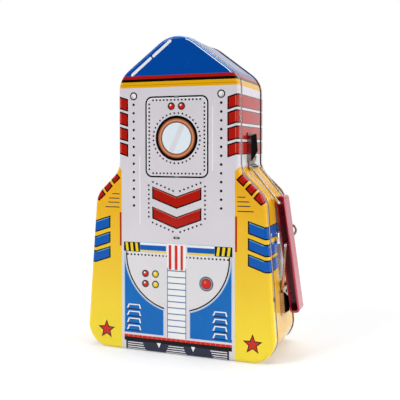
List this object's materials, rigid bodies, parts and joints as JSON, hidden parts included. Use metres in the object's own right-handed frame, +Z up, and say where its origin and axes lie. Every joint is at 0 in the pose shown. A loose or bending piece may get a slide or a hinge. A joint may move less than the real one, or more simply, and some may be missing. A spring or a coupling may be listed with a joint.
{
  "type": "rocket-shaped tin carry box",
  "caption": "Rocket-shaped tinplate carry box with printed panels, a hinged rear lid, a wire latch and a fold-down channel handle.",
  "frame": {"origin": "centre of the flat base, midway between the two fins and midway through the depth", "axes": "+Z up to the tip of the nose, the printed front faces -Y, the handle is on +X"},
  "size_m": [0.1679, 0.0706, 0.24],
  "materials": {
    "printed_front": "gloss",
    "printed_band": "gloss",
    "printed_lid": "gloss",
    "bare_tinplate": "satin",
    "plated_steel": "polished",
    "steel_wire": "satin",
    "red_plastic": "gloss"
  },
  "bodies": {
    "box": {"front_panel": "printed_front", "body_band": "printed_band", "body_collar": "bare_tinplate", "front_rivets": "plated_steel", "hinge_body_leaf_upper": "plated_steel", "hinge_body_leaf_lower": "plated_steel", "hinge_pin_upper": "plated_steel", "hinge_pin_lower": "plated_steel", "hinge_body_rivets": "plated_steel", "latch_catch": "plated_steel", "latch_catch_rivets": "plated_steel", "handle_bracket_upper": "plated_steel", "handle_bracket_lower": "plated_steel", "bracket_rivets_upper": "plated_steel", "bracket_rivets_lower": "plated_steel"},
    "lid": {"rear_lid": "printed_lid", "hinge_lid_leaf_upper": "plated_steel", "hinge_lid_leaf_lower": "plated_steel", "hinge_lid_rivets": "plated_steel", "latch_knuckle": "plated_steel", "latch_knuckle_rivets": "plated_steel"},
    "loop": {"latch_loop": "steel_wire"},
    "upper_link": {"handle_link_upper": "steel_wire"},
    "grip": {"handle_grip": "red_plastic"},
    "lower_link": {"handle_link_lower": "steel_wire"}
  },
  "joints": [
    {"name": "lid_hinge", "type": "hinge", "parent": "box", "child": "lid", "pos_m": [-0.07516, 0.0266, 0.06422], "axis": [0.0768, 0, 0.997], "range_deg": [0, 120]},
    {"name": "latch_loop_pivot", "type": "hinge", "parent": "lid", "child": "loop", "pos_m": [0.07344, 0.03075, 0.07616], "axis": [-0.0768, 0, 0.997], "range_deg": [0, 100]},
    {"name": "handle_swing", "type": "hinge", "parent": "box", "child": "upper_link", "pos_m": [0.0509, 0, 0.142], "axis": [0, -1, 0], "range_deg": [0, 50]},
    {"name": "grip_pin", "type": "hinge", "parent": "upper_link", "child": "grip", "pos_m": [0.0727, 0, 0.1156], "axis": [0, 1, 0], "range_deg": [0, 46]},
    {"name": "lower_link_swing", "type": "hinge", "parent": "box", "child": "lower_link", "pos_m": [0.0753, 0, 0.053], "axis": [0, 1, 0], "range_deg": [0, 51]}
  ],
  "couplings": [
    {"joint": "grip_pin", "follows": "handle_swing", "ratio": 0.9148},
    {"joint": "lower_link_swing", "follows": "handle_swing", "ratio": 1.0112}
  ]
}
